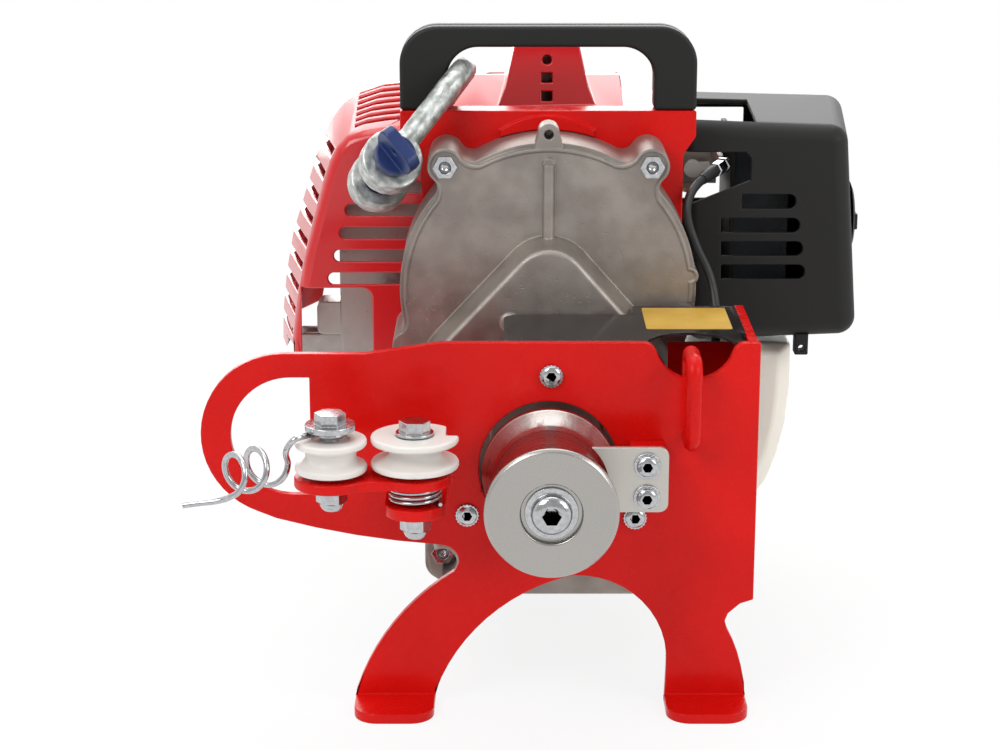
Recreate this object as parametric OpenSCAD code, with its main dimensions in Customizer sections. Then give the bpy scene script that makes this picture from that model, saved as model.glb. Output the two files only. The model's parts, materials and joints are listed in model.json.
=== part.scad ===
// Engine-driven capstan rope winch. A bent steel plate stands on two feet and carries the
// capstan, a sprung pair of rope rollers and a die-cast gear case. A small two-stroke engine
// with its tank stands behind the plate, under a slotted cowl and a carrying handle.
//
// Depths are measured along +Y from the front face of the steel plate, heights from the ground,
// and X from the capstan's axis. in_frame() moves that layout to the frame whose origin is the
// middle of the footprint.

/* [Front plate] */
// Thickness of the steel front plate
plate_t = 5; // [4:0.5:6]
// Height of the plate's top edge
plate_top = 189; // [188.6:0.1:190]
// X of the plate's right edge, where it bends back into a flange
plate_right = 103; // [102:0.5:106]
// Depth of the right-hand flange
flange_d = 86; // [60:1:86]
// Radius of the hole that the capstan's rear flange sits in
plate_hole_r = 34.5; // [33.5:0.1:36]
// How far the feet reach forward
foot_reach = 26; // [20:1:40]

/* [Capstan] */
// Height of the capstan's axis
capstan_z = 125; // [125:1:125]
// Radius of the capstan's flanges
capstan_r = 31.7; // [30:0.1:32]
// Radius of the capstan's rear flange
rear_flange_r = 33; // [32:0.1:33.2]
// Radius of the capstan's neck, where the rope wraps
neck_r = 26.5; // [24:0.5:27]
// How far the capstan reaches forward of the plate
capstan_reach = 70; // [66:1:74]
// Radius of the output shaft
shaft_r = 10; // [10:1:10]

/* [Rope rollers] */
// X of the fixed roller's bolt
fixed_x = -64.2; // [-66:0.1:-62]
// Depth of the fixed roller's bolt
fixed_d = -45; // [-46:0.5:-44]
// X of the swinging roller's bolt
swing_x = -103.5; // [-106:0.1:-102]
// Depth of the swinging roller's bolt
swing_d = -50; // [-51:0.5:-49]
// Radius of the fixed roller
fixed_r = 20.8; // [19:0.1:21]
// Radius of the swinging roller
swing_r = 17; // [15:0.1:17.5]
// Diameter of the torsion spring's wire
spring_wire = 1.8; // [1.6:0.1:1.8]
// Diameter of the pigtail guide's wire
pigtail_wire = 3; // [2.5:0.1:3.5]

/* [Gear case] */
// Height of the engine's crank axis
crank_z = 195; // [195:1:195]
// Radius of the round upper part of the gear cover
disc_r = 75; // [74:0.5:77]
// Depth of the front of the gear cover's raised hump
hump_d = 64; // [64:1:64]
// Depth of the front of the gear cover's disc
disc_d = 84; // [84:1:84]
// Depth of the joint between the gear cover and the handle plate
joint_d = 128; // [128:1:128]
// Gear module of the planetary stage
planet_module = 1; // [1:1:1]
// Gear module of the output stage
output_module = 1.75; // [1.75:1:1.75]

/* [Handle] */
// Left edge of the handle
handle_left = -77; // [-80:1:-76]
// Right edge of the handle
handle_right = 80; // [78:1:82]
// Height of the top of the handle
handle_top = 326.8; // [322:0.2:332]
// Front-to-back thickness of the handle
handle_t = 18; // [16:1:20]

/* [Engine] */
// Depth of the front of the cowl
cowl_d = 166; // [164:1:167]
// Wall of the cowl
cowl_wall = 2.6; // [2:0.1:3]
// Depth of the rear of the starter cover, the rearmost face
rear_d = 290; // [288:1:292]
// X of the right-hand side of the air filter cover
filter_right = 173; // [168:1:176]
// Height of the fuel tank's base
tank_base = 32; // [28:1:36]

/* [Shackle] */
// Diameter of the shackle's bow
bow_wire = 12.7; // [12:0.1:12.8]
// Diameter of the shackle's pin
pin_d = 16; // [14:0.5:16]

/* [Hidden] */

$fn = 48;

mid_d = (rear_d - capstan_reach) / 2;   // depth of the middle of the footprint
eps = 0.01;
fit = 0.05;                             // radial clearance of a running fit
disc_x = 1;                             // the cover's disc sits this far right of the axes

red = "#d01414";
cast = "#938b85";
zinc = "#a9a6a2";
steel = "#c4c4c2";
black = "#2c2a28";
nylon = "#e6e2dc";

// ---------- placing helpers ----------

module in_frame() { translate([0, -mid_d, 0]) children(); }

// a 2D drawing in X and Z, extruded from depth d0 back to depth d1
module slab(d0, d1) {
    translate([0, d1, 0]) rotate([90, 0, 0]) linear_extrude(d1 - d0) children();
}

// a round bar along Y from depth d0 to depth d1
module rod_y(r, d0, d1, x = 0, z = 0, fn = 48) {
    translate([x, d0, z]) rotate([-90, 0, 0]) cylinder(r = r, h = d1 - d0, $fn = fn);
}

// a round bar along Z
module rod_z(r, z0, z1, x = 0, d = 0, fn = 48) {
    translate([x, d, z0]) cylinder(r = r, h = z1 - z0, $fn = fn);
}

// a round bar along X
module rod_x(r, x0, x1, d = 0, z = 0, fn = 48) {
    translate([x0, d, z]) rotate([0, 90, 0]) cylinder(r = r, h = x1 - x0, $fn = fn);
}

// a box between two corners
module block(x, d, z) {
    translate([x[0], d[0], z[0]]) cube([x[1] - x[0], d[1] - d[0], z[1] - z[0]]);
}

// a rotate_extrude about an axis along Y: the drawing's X is radius and its Y is depth from d
module turned_y(x, d, z) {
    translate([x, d, z]) rotate([-90, 0, 0]) rotate_extrude($fn = 72) children();
}

// points along an arc in a 2D drawing
function arc(cx, cy, r, a0, a1, n) =
    [for (i = [0:n]) let (a = a0 + (a1 - a0) * i / n) [cx + r * cos(a), cy + r * sin(a)]];

// a rectangle whose corners are true arcs
module round_rect(x0, y0, x1, y1, r) {
    translate([x0 + r, y0]) square([x1 - x0 - 2 * r, y1 - y0]);
    translate([x0, y0 + r]) square([x1 - x0, y1 - y0 - 2 * r]);
    for (x = [x0 + r, x1 - r], y = [y0 + r, y1 - r]) translate([x, y]) circle(r);
}

// a hexagon head or nut, across flats af
module hexagon(af, h) { cylinder(d = af / cos(30), h = h, $fn = 6); }

// a swept tube: rings of n points round a path, closed at both ends
function unit(v) = v / norm(v);
function heading(p, i) = unit(p[min(i + 1, len(p) - 1)] - p[max(i - 1, 0)]);
function carried(p, i) = i == 0
    ? let (t = heading(p, 0), g = abs(t.z) < 0.9 ? [0, 0, 1] : [1, 0, 0]) unit(g - (g * t) * t)
    : let (u = carried(p, i - 1), t = heading(p, i)) unit(u - (u * t) * t);
function ring_at(p, i, r, n) =
    let (t = heading(p, i), u = carried(p, i), v = cross(t, u))
    [for (k = [0:n - 1]) p[i] + r * (cos(360 * k / n) * u + sin(360 * k / n) * v)];
module tube(p, r, n) {
    last = len(p) - 1;
    polyhedron(
        points = [for (i = [0:last]) each ring_at(p, i, r, n)],
        faces = concat(
            [for (k = [1:n - 2]) [0, k, k + 1]],
            [for (i = [0:last - 1], k = [0:n - 1]) let (a = i * n + k, b = i * n + (k + 1) % n)
                each [[a, a + n, b + n], [a, b + n, b]]],
            [for (k = [1:n - 2]) [last * n, last * n + k + 1, last * n + k]]));
}

// least distance between stretches of a path that are at least skip points apart
function self_gap(p, skip) =
    min([for (i = [0:len(p) - 1]) for (j = [i + skip:len(p) - 1]) norm(p[i] - p[j])]);

// ---------- gear teeth ----------

pressure = 20;
slack = 0.93;      // part of half the pitch that a tooth fills
function inv(a) = (tan(a) - a * PI / 180) * 180 / PI;
// half the angle that a tooth fills at radius r
function half_tooth(z, m, r, fill) =
    let (rp = z * m / 2, rb = rp * cos(pressure))
    90 / z * fill + inv(pressure) - (r > rb ? inv(acos(rb / r)) : 0);
// outline of an external gear: add and ded are tooth height above and below the pitch circle
module gear_outline(z, m, add, ded, steps = 2, fill = slack) {
    r0 = z * m / 2 - ded * m;
    r1 = z * m / 2 + add * m;
    polygon([for (i = [0:z - 1], k = [0:2 * steps + 1])
        let (up = k <= steps, j = up ? k : 2 * steps + 1 - k, r = r0 + (r1 - r0) * j / steps,
             a = 360 * i / z + (up ? -1 : 1) * half_tooth(z, m, r, fill))
        [r * cos(a), r * sin(a)]]);
}

sun_teeth = 12;
planet_teeth = 42;
ring_teeth = 96;
pinion_teeth = 10;
wheel_teeth = 70;
planet_orbit = (sun_teeth + planet_teeth) * planet_module / 2;
planet_d = [102, 114];       // depths of the planetary stage's teeth
wheel_d = [72, 84];          // depths of the output stage's teeth

// ---------- front plate and what is welded to it ----------

window_c = [-126.5, 141.5];
screw_places = [[1, 172.6], [-40.3, 101], [43, 99.6]];
cable_exit = [-57, 128];

notch = [71, plate_top + 1];
module plate_outline() {
    polygon(concat(
        [[plate_right, plate_top]],
        // notch that the anchor bar passes through, with rounded shoulders
        arc(notch.x + 24.9, plate_top - 6.5, 6.5, 90, 163, 5),
        arc(notch.x, notch.y, 19.5, -17, -163, 14),
        arc(notch.x - 24.9, plate_top - 6.5, 6.5, 17, 90, 5),
        [[-53, plate_top], [-89.7, 183.5]],
        arc(-129.5, 141.8, 41.7, 90, 250, 22),
        arc(-26.6, 489.5, 405.2, 254.5, 266, 4),
        arc(-53.5, 76, 9, 90, 0, 6),
        arc(16.6, -29.8, 119.1, 122, 162, 10),
        [[-97, 0], [-57, 0]],
        arc(35.6, -25.9, 97.7, 160.3, 105, 12),
        arc(14.8, 23.6, 45.2, 92, -3.4, 12),
        [[59.2, 0], [100, 0]],
        arc(21.3, 2.7, 78.5, 3, 28.6, 5),
        [[89, 44.5], [90.5, 48.5], [96.4, 53.8], [plate_right, 56]]));
}

module front_plate() color(red) in_frame() {
    difference() {
        slab(0, plate_t) difference() {
            plate_outline();
            intersection() {
                union() {
                    translate(window_c) circle(30);
                    translate([window_c.x, window_c.y - 30]) square([20, 60]);
                }
                translate([-160, 100]) square([160 - 117.2, 80]);
            }
            translate([-33.2, 113]) square([16, 22.5]);
        }
        rod_y(plate_hole_r, -1, plate_t + 1, 0, capstan_z);
        for (p = screw_places) rod_y(3.1, -1, plate_t + 1, p.x, p.y);
        rod_y(3.1, -1, plate_t + 1, cable_exit.x, cable_exit.y);
    }
    block([plate_right - plate_t, plate_right], [plate_t, flange_d], [56, 187]);
    // gusset inside the flange
    block([62, plate_right - 1], [57, 59.5], [138, 174.5]);
    for (x = [[-97, -57], [59.2, 100]])
        linear_extrude(5) difference() {
            round_rect(x[0], -foot_reach, x[1], foot_reach, 12);
            translate([x[0] - 1, 0]) square([60, foot_reach + 1]);
        }
}

anchor_x = 69.5;
anchor_r = 4.1;
anchor_z = [147.5, 176.4];    // ends of the bar's straight front part
module elbow(x, d, z, turn) {
    translate([x, d, z]) rotate([0, 90, 0]) rotate([0, 0, turn])
        rotate_extrude(angle = 90) translate([6, 0]) circle(anchor_r);
}
module anchor_bar() color(red) in_frame() {
    rod_y(anchor_r, -10, 0, anchor_x, anchor_z[0] - 6);
    elbow(anchor_x, -10, anchor_z[0], 270);
    rod_z(anchor_r, anchor_z[0], anchor_z[1], anchor_x, -16);
    elbow(anchor_x, -10, anchor_z[1], 180);
    rod_y(anchor_r, -10, 3.6, anchor_x, anchor_z[1] + 6);
    elbow(anchor_x, 3.6, anchor_z[1], 90);
    rod_z(anchor_r, 158, anchor_z[1], anchor_x, 9.6);
}

bracket_z = [117.4, 122.8];
module pivot_bracket() color(red) in_frame() difference() {
    translate([0, 0, bracket_z[0]]) linear_extrude(bracket_z[1] - bracket_z[0]) union() {
        translate([fixed_x, fixed_d]) circle(14.5);
        translate([fixed_x - 14.5, fixed_d]) square([29, -fixed_d]);
    }
    rod_z(4 + fit, 110, 130, fixed_x, fixed_d);
}

guard_x = 46.6;
guard_z = [120.4, 136.5];
module guard_block() color(red) in_frame() difference() {
    linear_extrude(139.6) round_rect(39.8, -28, 56.6, 6, 5);
    block([30, 60], [0, 10], [100, 145]);
    block([30, 60], [-30, 10], [-1, 114]);
    for (z = guard_z) rod_y(3, -29, -10, guard_x, z);
}

module rope_guard() color(zinc) in_frame() difference() {
    slab(-31, -28) round_rect(14, 112.8, 57, 145.4, 4.5);
    rod_y(neck_r + 2, -40, -20, 0, capstan_z);
    for (z = guard_z) rod_y(3.1, -40, -20, guard_x, z);
}

// a button-head socket screw seen from the front: head reaches forward from depth d
module button_screw(x, d, z, head_r, shank_r, shank_l) {
    difference() {
        turned_y(x, d - head_r * 0.55, z) polygon(concat([[0, 0], [head_r * 0.45, 0]],
            [for (a = [10:16:90]) [head_r * (0.45 + 0.55 * sin(a)), head_r * 0.4 * (1 - cos(a))]],
            [[head_r, head_r * 0.55], [0, head_r * 0.55]]));
        translate([x, d - head_r * 0.56, z]) rotate([-90, 0, 0]) hexagon(head_r * 0.75, head_r * 0.35);
    }
    rod_y(shank_r, d, d + shank_l, x, z);
}

module plate_screws() color(steel) in_frame() {
    for (p = screw_places) button_screw(p.x, 0, p.y, 5.25, 3, 18);
    for (z = guard_z) {
        button_screw(guard_x, -31 - 1.2, z, 5.2, 2.9, 14);
        difference() {
            rod_y(6.5, -31 - 1.2, -31, guard_x, z);
            rod_y(2.9, -33, -30, guard_x, z);
        }
    }
}

// ---------- gear case ----------

lug_r = 9.2;
top_lugs = [[-52.2, 260.7], [54, 260.7]];
low_lugs = [[-54.5, 51.8], [54.5, 51.8]];
case_low = 34;

rim_w = 1.7;
rim_h = 0.7;
side_boss = [-72.5, 165];
side_boss_r = 8;
// where circles round a and b cross, on the left of the way from a to b if side is 1
function meet(a, ra, b, rb, side) =
    let (d = norm(b - a), u = (b - a) / d, x = (d * d + ra * ra - rb * rb) / (2 * d))
    a + x * u + side * sqrt(ra * ra - x * x) * [-u.y, u.x];
// fillet of radius f between a circle round a and one round b
module fillet(a, ra, b, rb, f, side) {
    m = meet(a, ra + f, b, rb + f, side);
    difference() {
        polygon([a, m, b]);
        translate(m) circle(f + 0.06);
    }
}
// outline of the gear case, grown by g
module case_outline(g = 0) {
    disc_c = [disc_x, crank_z];
    lug = lug_r + min(g, 0);
    translate(disc_c) circle(disc_r + g, $fn = 96);
    translate([0, capstan_z]) circle(disc_r + g, $fn = 96);
    round_rect(-62 - g, case_low, 62 + g, 110, 10);
    for (p = top_lugs, side = [-1, 1]) fillet(p, lug, disc_c, disc_r + g, 9 - g, side);
    for (p = concat(top_lugs, low_lugs)) translate(p) circle(lug);
    translate(side_boss) circle(side_boss_r);
    for (side = [-1, 1]) fillet(side_boss, side_boss_r, disc_c, disc_r + g, 7, side);
    translate([74.5, 203]) circle(4.6 + min(g, 0));
}

module hump(d0, d1, apex_r, wheel_r, grow) {
    hull() {
        translate([disc_x, d0, 200]) rotate([-90, 0, 0])
            cylinder(r1 = apex_r, r2 = apex_r + grow, h = d1 - d0, $fn = 40);
        translate([0, d0, capstan_z]) rotate([-90, 0, 0])
            cylinder(r1 = wheel_r, r2 = wheel_r + grow, h = d1 - d0, $fn = 80);
        slab(d0, d1) translate([-52, case_low]) square([104, 20]);
    }
}

module gear_cover() color(cast) in_frame() difference() {
    union() {
        hump(hump_d, disc_d, 20.5, 71, 4);
        slab(disc_d, disc_d + 4) difference() {
            case_outline();
            translate([disc_x - 8, 278]) square([16, 12]);
        }
        slab(disc_d + 4, joint_d) case_outline(2.3);
        // raised rim round the disc's front
        slab(disc_d - rim_h, disc_d + 1) intersection() {
            difference() {
                case_outline();
                case_outline(-rim_w);
            }
            translate([-90, 189]) square([180, 100]);
        }
        // lug with a tapped hole at the top of the disc
        rod_y(5.6, disc_d, disc_d + 14, disc_x, 277);
        slab(disc_d, disc_d + 14) polygon([[-7.5, 266], [9.5, 266], [6.5, 277], [-4.5, 277]]);
        // stiffening rib up the middle of the disc
        rod_z(3.2, 220, 262, disc_x, disc_d - 1.8);
        rod_y(3.2, disc_d - 1.8, disc_d, disc_x, 262);
        // bosses to the plate and the front bearing housing
        for (p = screw_places) rod_y(7, plate_t, hump_d + 1, p.x, p.y);
        rod_y(29, 44, hump_d + 1, 0, capstan_z);
        rod_y(3.6, hump_d - 3, hump_d + 1, -19, 183);
    }
    // space for the output wheel, then for the planetary stage
    rod_y(66, hump_d + 5, joint_d + 1, 0, capstan_z);
    rod_y(60, disc_d + 5, joint_d + 1, 0, crank_z);
    rod_y(16, hump_d + 5, disc_d + 6, 0, crank_z);
    rod_y(5 + fit, hump_d + 2, hump_d + 6, 0, crank_z);
    // seat of the front bearing and the shaft's way through
    rod_y(23.5, 50, hump_d + 6, 0, capstan_z);
    rod_y(shaft_r + 1, 40, 51, 0, capstan_z);
    for (p = screw_places) rod_y(3 + fit, plate_t - 1, plate_t + 15, p.x, p.y);
    for (p = concat(top_lugs, low_lugs)) rod_y(3.1, disc_d - 1, joint_d + 1, p.x, p.y);
    rod_y(2.5, disc_d - 1, disc_d + 12, disc_x, 277);
    // recesses for the heads of the two low bolts
    for (p = low_lugs) rod_y(7.6, hump_d - 1, disc_d, p.x, p.y);
}

module cover_bolts() color(steel) in_frame() {
    for (p = concat(top_lugs, low_lugs)) difference() {
        union() {
            translate([p.x, disc_d - 5, p.y]) rotate([-90, 0, 0]) hexagon(11, 5);
            rod_y(3, disc_d, joint_d + 14, p.x, p.y);
        }
        translate([p.x, disc_d - 5, p.y]) sphere(3.2);
    }
    for (x = handle_posts) {
        translate([x, handle_mid, 271.4]) hexagon(10, 5);
        rod_z(3, 276.4, 300, x, handle_mid);
    }
}

module ring_gear() color("#7d7a76") in_frame() translate([0, planet_d[1], crank_z])
    rotate([90, 0, 0]) linear_extrude(planet_d[1] - planet_d[0]) difference() {
        circle(51.9, $fn = 96);
        gear_outline(ring_teeth, planet_module, 1.0, 0.6, 1, 2 - slack);
    }

// a ball bearing, as a ring from bore radius to outer radius
module bearing(x, z, d0, d1, r0, r1) {
    turned_y(x, d0, z) polygon([[r0, 0], [r1, 0], [r1, d1 - d0], [r0, d1 - d0]]);
}
module case_bearings() color(steel) in_frame() {
    bearing(0, capstan_z, 50, 64, shaft_r + fit, 23.5);
    bearing(0, capstan_z, 100, 110, 7.5 + fit, 13);
    bearing(0, crank_z, 127, 136, 5 + fit, 15);
    bearing(0, crank_z, 191, 201, 7.5 + fit, 17.5);
    bearing(0, crank_z, 238, 248, 7.5 + fit, 17.5);
}

// ---------- handle ----------

handle_base = 282.4;
handle_posts = [-64, 69];
handle_mid = joint_d + handle_t / 2;
pad_r = 43;
pad_top = 280.3;

module handle_plate() color(red) in_frame() {
    difference() {
        union() {
            slab(joint_d, joint_d + 3) union() {
                case_outline(2.3);
                polygon([[-66, 200], [-66, 256], [handle_left, 262], [handle_left, handle_base],
                         [handle_right, handle_base], [handle_right, 268.5], [73.5, 258.8],
                         [73.5, 200]]);
            }
            // pad pressed forward round the case's top lug
            slab(joint_d - 2.5, joint_d + 1) difference() {
                intersection() {
                    translate([disc_x, pad_top - pad_r]) circle(pad_r, $fn = 96);
                    translate([disc_x - 25, 262]) square([50, 30]);
                }
                translate([disc_x, crank_z]) circle(disc_r + 2.6, $fn = 96);
            }
        }
        rod_y(66, joint_d - 1, joint_d + 5, 0, capstan_z);
        rod_y(60, joint_d - 1, joint_d + 5, 0, crank_z);
        for (p = concat(top_lugs, low_lugs)) rod_y(3.2, joint_d - 5, joint_d + 5, p.x, p.y);
    }
    difference() {
        block([handle_left, handle_right], [joint_d + 3, joint_d + handle_t],
              [handle_base - 3, handle_base]);
        for (x = handle_posts) rod_z(3.2, 270, 290, x, handle_mid);
    }
}

module handle_outline() {
    difference() {
        union() {
            round_rect(handle_left, 284, handle_right, handle_top, 20);
            translate([handle_left, handle_base]) square([handle_right - handle_left, 24]);
        }
        union() {
            round_rect(-52, 250, 57.3, 315.8, 16.5);
            translate([-52, 270]) square([109.3, 20]);
        }
    }
}
module handle_half(d0, d1) difference() {
    slab(d0, d1) handle_outline();
    for (x = handle_posts) rod_z(3 + fit, 280, 301, x, handle_mid);
}
module handle_front() color(black) in_frame() handle_half(joint_d, handle_mid);
module handle_rear() color(black) in_frame() handle_half(handle_mid, joint_d + handle_t);

guard_rear = 78;
module top_guard() color("#1d1d1f") in_frame() {
    translate([0, 0, 187]) linear_extrude(1.5) difference() {
        union() {
            round_rect(-22, 30, 60, guard_rear - 18, 8);
            translate([-22, 5.2]) square([117, 40]);
            translate([44.5, 40]) square([50.5, guard_rear - 40]);
        }
        translate([69, 2]) circle(21);
    }
    block([95, 97.8], [24, guard_rear], [180, 188.5]);
    block([-22, -20.5], [5.2, guard_rear - 26], [176, 187.2]);
}

// ---------- clutch housing and engine ----------

module clutch_housing() color(cast) in_frame() difference() {
    union() {
        slab(joint_d + 3, joint_d + 9) case_outline(1);
        rod_y(57, 101, joint_d + 4, 0, crank_z);
        rod_y(17, 99, joint_d + 4, 0, capstan_z);
        rod_y(50, joint_d + 8, 160, 0, crank_z);
        rod_y(60, 158, 188, 0, crank_z);
    }
    difference() {
        rod_y(52, 100, joint_d + 3, 0, crank_z);
        rod_y(19, 124, joint_d + 3, 0, crank_z);
    }
    rod_y(15, 120, 136, 0, crank_z);
    rod_y(7, 120, joint_d + 12, 0, crank_z);
    rod_y(44, joint_d + 9, 165, 0, crank_z);
    rod_y(56, 161, 189, 0, crank_z);
    rod_y(13, 98, 112, 0, capstan_z);
    for (p = concat(top_lugs, low_lugs)) rod_y(3 + fit, joint_d + 2, joint_d + 15, p.x, p.y);
}

cyl_d = 219;       // depth of the cylinder's axis
throw = 16;        // half of the piston's stroke

module crankcase() color(cast) in_frame() difference() {
    union() {
        rod_y(60, 188, 190.5, 0, crank_z);
        rod_y(40, 188, 250, 0, crank_z);
        rod_y(62, 248, 251, 0, crank_z);
        block([-31, 31], [190, 248], [crank_z, 235]);
        block([-40, 40], [195, 245], [143, 170]);
    }
    rod_y(31, 201, 238, 0, crank_z);
    rod_z(22, 195, 236, 0, cyl_d);
    rod_y(17.5, 191, 202, 0, crank_z);
    rod_y(17.5, 237, 248, 0, crank_z);
    rod_y(10, 180, 260, 0, crank_z);
}

module cylinder_fins() {
    for (i = [0:4]) block([-37, 37], [cyl_d - 28, cyl_d + 28], [244 + 6.5 * i, 246.6 + 6.5 * i]);
}
module engine_cylinder() color("#b3afaa") in_frame() difference() {
    union() {
        block([-31, 31], [191, 247], [235, 240]);
        rod_z(24, 236, 276, 0, cyl_d);
        cylinder_fins();
        rod_x(10.8, 20, 70, cyl_d, 246);
        rod_x(12, -61.5, -20, cyl_d, 250);
        rod_z(10, 275, 286, 0, cyl_d);
    }
    rod_z(20, 234, 271, 0, cyl_d);
    rod_x(8, 15, 71, cyl_d, 246);
    rod_x(8, -62, -15, cyl_d, 250);
    rod_z(5 + fit, 270, 287, 0, cyl_d);
}

module piston() color("#c9c7c2") in_frame() difference() {
    rod_z(20 - fit, 242, 270, 0, cyl_d);
    rod_z(17, 241, 264, 0, cyl_d);
}
module connecting_rod() color("#8d8b88") in_frame() {
    difference() {
        rod_y(26, 215, 223, 0, crank_z);
        rod_y(22, 214, 224, 0, crank_z);
    }
    block([-4, 4], [216.5, 221.5], [220, 250]);
    rod_y(7, 214, 224, 0, 252);
}

module crankshaft() color("#9a9894") in_frame() {
    rod_y(14, 146, 164, 0, crank_z);
    rod_y(7.5, 163, 205, 0, crank_z);
    rod_y(28, 205, 213, 0, crank_z);
    rod_y(5, 212, 226, 0, crank_z + throw);
    rod_y(28, 225, 233, 0, crank_z);
    rod_y(7.5, 233, 258, 0, crank_z);
    // ratchet that the starter catches
    translate([0, 252, crank_z]) rotate([-90, 0, 0]) difference() {
        hexagon(24, 6);
        translate([0, 0, -1]) cylinder(r = 7.5, h = 8);
    }
}

module flywheel() color("#b9b7b2") in_frame() difference() {
    union() {
        rod_y(50, 178, 183, 0, crank_z);
        rod_y(20, 165, 183, 0, crank_z);
        for (i = [0:15]) translate([0, 0, crank_z]) rotate([0, i * 22.5, 0])
            block([22, 50], [166, 178.5], [-1.2, 1.2]);
    }
    rod_y(7.5, 160, 190, 0, crank_z);
}

module clutch_drum() color("#8b8986") in_frame() {
    difference() {
        rod_y(39, 141, 161, 0, crank_z);
        rod_y(36, 144, 162, 0, crank_z);
    }
    rod_y(5, 114, 142, 0, crank_z);
    translate([0, 116, crank_z]) rotate([90, 0, 0]) rotate([0, 0, 15])
        linear_extrude(15) gear_outline(sun_teeth, planet_module, 0.8, 0.85, 4);
}

module clutch_shoe(side) color("#6d5f55") in_frame() translate([0, 0, crank_z])
    rotate([0, side, 0]) difference() {
        rod_y(34, 147, 159);
        rod_y(18, 146, 160);
        translate([-40, 140, -40]) cube([80, 30, 48]);
    }
module clutch_shoe_1() clutch_shoe(0);
module clutch_shoe_2() clutch_shoe(180);

module gear_carrier() color("#a3a09b") in_frame() {
    translate([0, wheel_d[1] + 1, crank_z]) rotate([90, 0, 0]) rotate([0, 0, -90])
        linear_extrude(wheel_d[1] - wheel_d[0] + 2)
            gear_outline(pinion_teeth, output_module, 0.8, 0.85, 4);
    rod_y(5, 67, 72, 0, crank_z);
    rod_y(8, 84, 96, 0, crank_z);
    rod_y(38, 95, 100, 0, crank_z);
    for (a = [0:120:240]) translate([0, 0, crank_z]) rotate([0, -a, 0])
        rod_y(4, 99, 116, 0, planet_orbit);
}

module planet_gear(a) color("#b5a68a") in_frame()
    translate([planet_orbit * cos(a), planet_d[1], crank_z + planet_orbit * sin(a)])
    rotate([90, 0, 0]) rotate([0, 0, a]) linear_extrude(planet_d[1] - planet_d[0]) difference() {
        gear_outline(planet_teeth, planet_module, 0.6, 0.9, 2);
        circle(4 + fit);
    }
module planet_gear_1() planet_gear(90);
module planet_gear_2() planet_gear(210);
module planet_gear_3() planet_gear(330);

module output_wheel() color("#a8a5a0") in_frame() difference() {
    translate([0, wheel_d[1], capstan_z]) rotate([90, 0, 0])
        rotate([0, 0, 90 + 180 / wheel_teeth]) linear_extrude(wheel_d[1] - wheel_d[0])
            gear_outline(wheel_teeth, output_module, 0.6, 1.0, 2);
    rod_y(shaft_r, 70, 90, 0, capstan_z);
    for (a = [0:60:300]) translate([0, 0, capstan_z]) rotate([0, a, 0]) rod_y(10, 70, 90, 36, 0);
}

module output_shaft() color(steel) in_frame() difference() {
    union() {
        rod_y(shaft_r, -60, 98, 0, capstan_z);
        rod_y(7.5, 97, 111, 0, capstan_z);
    }
    rod_y(6, -61, -28, 0, capstan_z);
}

module capstan_drum() color("#cfccc8") in_frame() difference() {
    turned_y(0, -capstan_reach, capstan_z) polygon([
        [0, 3], [14.5, 3], [14.5, 0.6], [15.2, 0], [capstan_r - 1.5, 0], [capstan_r, 1.5],
        [capstan_r, 4.5], [neck_r + 1.5, 13], [neck_r, 17], [neck_r, 46], [neck_r + 1.5, 52],
        [rear_flange_r - 0.6, 60.3], [rear_flange_r, 61], [rear_flange_r, 65], [0, 65]]);
    rod_y(shaft_r, -60, 0, 0, capstan_z);
    rod_y(6.2, -68, -59, 0, capstan_z);
}

module drum_bolt() color(steel) in_frame() {
    washer_d = -capstan_reach + 3;
    button_screw(0, washer_d - 1.5, capstan_z, 9.7, 6, 38);
    difference() {
        rod_y(12.6, washer_d - 1.5, washer_d, 0, capstan_z);
        rod_y(6, washer_d - 2, washer_d + 1, 0, capstan_z);
    }
}

module starter_cover() color("#b01515") in_frame() difference() {
    union() {
        rod_y(62, 251, rear_d - 4, 0, crank_z);
        rod_y(57, rear_d - 5, rear_d, 0, crank_z);
        block([-52, -28], [262, 284], [235, 262]);
    }
    difference() {
        rod_y(58.5, 250, rear_d - 6, 0, crank_z);
        rod_y(6, 262, rear_d, 0, crank_z);
    }
    rod_z(2.5, 230, 264, -40, 273);
    for (i = [0:23]) translate([0, 0, crank_z]) rotate([0, i * 15, 0])
        block([34, 50], [rear_d - 8, rear_d + 1], [-1.8, 1.8]);
    block([-10, 10], [rear_d - 7, rear_d + 1], [crank_z + 14, crank_z + 26]);
    for (a = [45:90:315]) rod_y(2.6, 250, rear_d + 1, 60 * cos(a), crank_z + 60 * sin(a));
}

module starter_pulley() color(black) in_frame() difference() {
    turned_y(0, 263, crank_z) polygon([[6 + fit, 0], [28, 0], [28, 1.5], [24, 3.5], [28, 5.5],
                                       [28, 7], [6 + fit, 7]]);
    for (a = [0:120:240]) translate([0, 0, crank_z]) rotate([0, a, 0]) rod_y(3, 260, 272, 15, 0);
}

module starter_handle() color(black) in_frame() {
    hull() for (x = [-62, -18]) translate([x, 273, 270.5]) sphere(6.5, $fn = 24);
    rod_z(2.1, 250, 268, -40, 273);
}

module stop_switch() color("#b21818") in_frame() difference() {
    block([-9, -1], [rear_d - 6.6, rear_d - 0.5], [crank_z + 15, crank_z + 25]);
    for (x = [-7, -5, -3]) block([x - 0.4, x + 0.4], [rear_d - 1.2, rear_d], [crank_z + 14, crank_z + 26]);
}

// ---------- cowl ----------

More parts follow.
